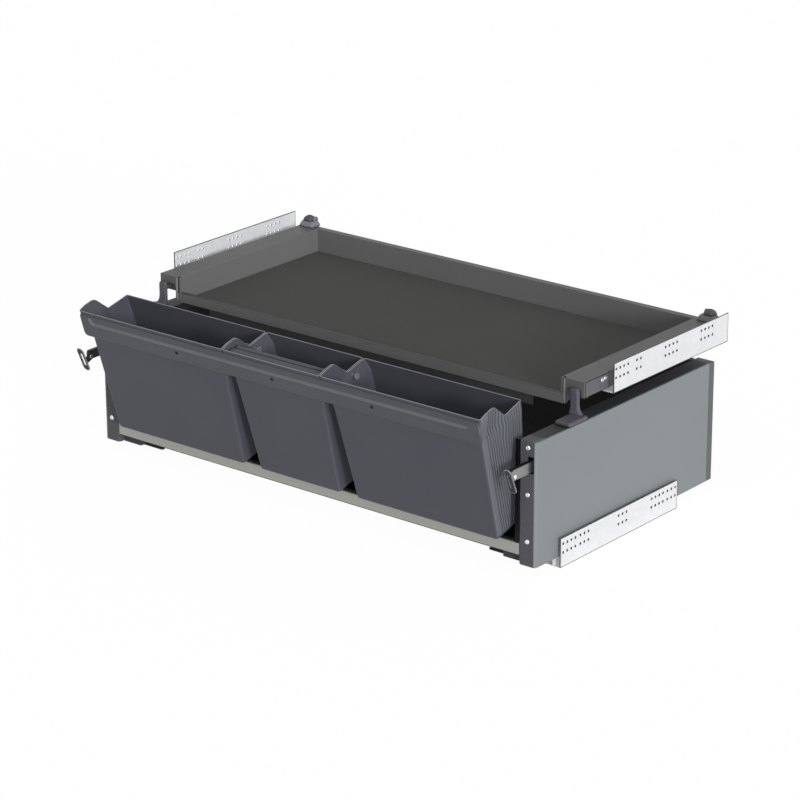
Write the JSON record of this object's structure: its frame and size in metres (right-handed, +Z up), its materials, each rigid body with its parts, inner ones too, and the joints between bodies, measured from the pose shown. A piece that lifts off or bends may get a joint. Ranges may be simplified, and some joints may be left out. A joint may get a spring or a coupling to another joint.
{
  "type": "pull-out pot basket",
  "caption": "Pull-out pot basket for a kitchen base cabinet: a deep drawer and a shallow tray on concealed slides, with leaning lift-out boxes along the drawer's front.",
  "frame": {"origin": "centre of the bounding box in X and Y, at the underside of the lower slides' flanges, which is the cabinet's floor", "axes": "+X to the right along the drawer's front, +Y from the front to the back of the cabinet, +Z up; the drawer pulls out along -Y"},
  "size_m": [0.864, 0.5702, 0.282],
  "materials": {
    "zinc_steel": "bright zinc plate",
    "strap_steel": "bright nickel plate",
    "black_steel": "satin black powder coat",
    "grey_panel": "satin grey coat",
    "tray_steel": "matt dark grey powder coat",
    "champagne": "anodised champagne",
    "box_plastic": "fine matt grain",
    "dark_plastic": "matt",
    "grey_plastic": "satin",
    "mat_rubber": "matt non-slip mat",
    "nylon": "nylon"
  },
  "bodies": {
    "cabinet_rails": {"lower_cabinet_rail_left": "zinc_steel", "lower_cabinet_rail_right": "zinc_steel", "upper_cabinet_rail_left": "zinc_steel", "upper_cabinet_rail_right": "zinc_steel"},
    "lower_middle_rails": {"lower_middle_rail_left": "zinc_steel", "lower_middle_rail_right": "zinc_steel", "lower_glides": "nylon"},
    "upper_middle_rails": {"upper_middle_rail_left": "zinc_steel", "upper_middle_rail_right": "zinc_steel", "upper_glides": "nylon"},
    "drawer": {"lower_carrying_rail_left": "zinc_steel", "lower_carrying_rail_right": "zinc_steel", "outer_panel_left": "grey_panel", "outer_panel_right": "grey_panel", "side_frame_left": "black_steel", "side_frame_right": "black_steel", "rear_cap_left": "dark_plastic", "rear_cap_right": "dark_plastic", "front_post_left": "dark_plastic", "front_post_right": "dark_plastic", "inner_trim_left": "dark_plastic", "inner_trim_right": "dark_plastic", "post_screws": "zinc_steel", "drawer_floor": "black_steel", "drawer_back": "black_steel", "front_rail": "champagne", "box_cradle": "black_steel", "coupling_post_left": "grey_plastic", "coupling_post_right": "grey_plastic", "front_clip_left": "dark_plastic", "front_clip_right": "dark_plastic"},
    "tray": {"upper_carrying_rail_left": "zinc_steel", "upper_carrying_rail_right": "zinc_steel", "tray_floor": "tray_steel", "tray_mat": "mat_rubber", "tray_lip": "tray_steel", "tray_back": "tray_steel", "tray_side_left": "tray_steel", "tray_side_right": "tray_steel", "corner_bracket_left": "dark_plastic", "corner_bracket_right": "dark_plastic", "bracket_screws": "zinc_steel", "rear_clip_left": "dark_plastic", "rear_clip_right": "dark_plastic", "catch_rollers": "dark_plastic"},
    "box_row": {"box_left": "box_plastic", "box_middle": "box_plastic", "box_right": "box_plastic", "front_band": "box_plastic", "band_screws": "box_plastic", "joining_pegs": "box_plastic"},
    "left_strap": {"door_strap_left": "strap_steel", "door_rivet_left": "zinc_steel"},
    "left_plate": {"door_plate_left": "black_steel"},
    "left_lever": {"clip_lever_left": "dark_plastic"},
    "right_strap": {"door_strap_right": "strap_steel", "door_rivet_right": "zinc_steel"},
    "right_plate": {"door_plate_right": "black_steel"},
    "right_lever": {"clip_lever_right": "dark_plastic"}
  },
  "joints": [
    {"name": "drawer_slide", "type": "slide", "parent": "cabinet_rails", "child": "drawer", "axis": [0, -1, 0], "range_m": [0, 0.29]},
    {"name": "lower_middle_slide", "type": "slide", "parent": "cabinet_rails", "child": "lower_middle_rails", "axis": [0, -1, 0], "range_m": [0, 0.145]},
    {"name": "tray_slide", "type": "slide", "parent": "cabinet_rails", "child": "tray", "axis": [0, -1, 0], "range_m": [0, 0.29]},
    {"name": "upper_middle_slide", "type": "slide", "parent": "cabinet_rails", "child": "upper_middle_rails", "axis": [0, -1, 0], "range_m": [0, 0.145]},
    {"name": "box_row_lift", "type": "slide", "parent": "drawer", "child": "box_row", "axis": [0, -0.274, 0.9617], "range_m": [0, 0.12]},
    {"name": "left_strap_slide", "type": "slide", "parent": "drawer", "child": "left_strap", "axis": [0, -1, 0], "range_m": [0, 0.04]},
    {"name": "left_plate_tilt", "type": "hinge", "parent": "left_strap", "child": "left_plate", "pos_m": [-0.4147, -0.23795, 0.1645], "axis": [-1, 0, 0], "range_deg": [-10, 30]},
    {"name": "left_lever_swing", "type": "hinge", "parent": "drawer", "child": "left_lever", "pos_m": [-0.377, -0.17395, 0.013], "axis": [0, 0, -1], "range_deg": [0, 12], "stiffness_Nm_per_rad": 0.02},
    {"name": "right_strap_slide", "type": "slide", "parent": "drawer", "child": "right_strap", "axis": [0, -1, 0], "range_m": [0, 0.04]},
    {"name": "right_plate_tilt", "type": "hinge", "parent": "right_strap", "child": "right_plate", "pos_m": [0.4147, -0.23795, 0.1645], "axis": [-1, 0, 0], "range_deg": [-10, 30]},
    {"name": "right_lever_swing", "type": "hinge", "parent": "drawer", "child": "right_lever", "pos_m": [0.377, -0.17395, 0.013], "axis": [0, 0, 1], "range_deg": [0, 12], "stiffness_Nm_per_rad": 0.02}
  ],
  "couplings": [
    {"joint": "lower_middle_slide", "follows": "drawer_slide", "ratio": 0.5},
    {"joint": "tray_slide", "follows": "drawer_slide", "ratio": 1},
    {"joint": "upper_middle_slide", "follows": "drawer_slide", "ratio": 0.5}
  ]
}
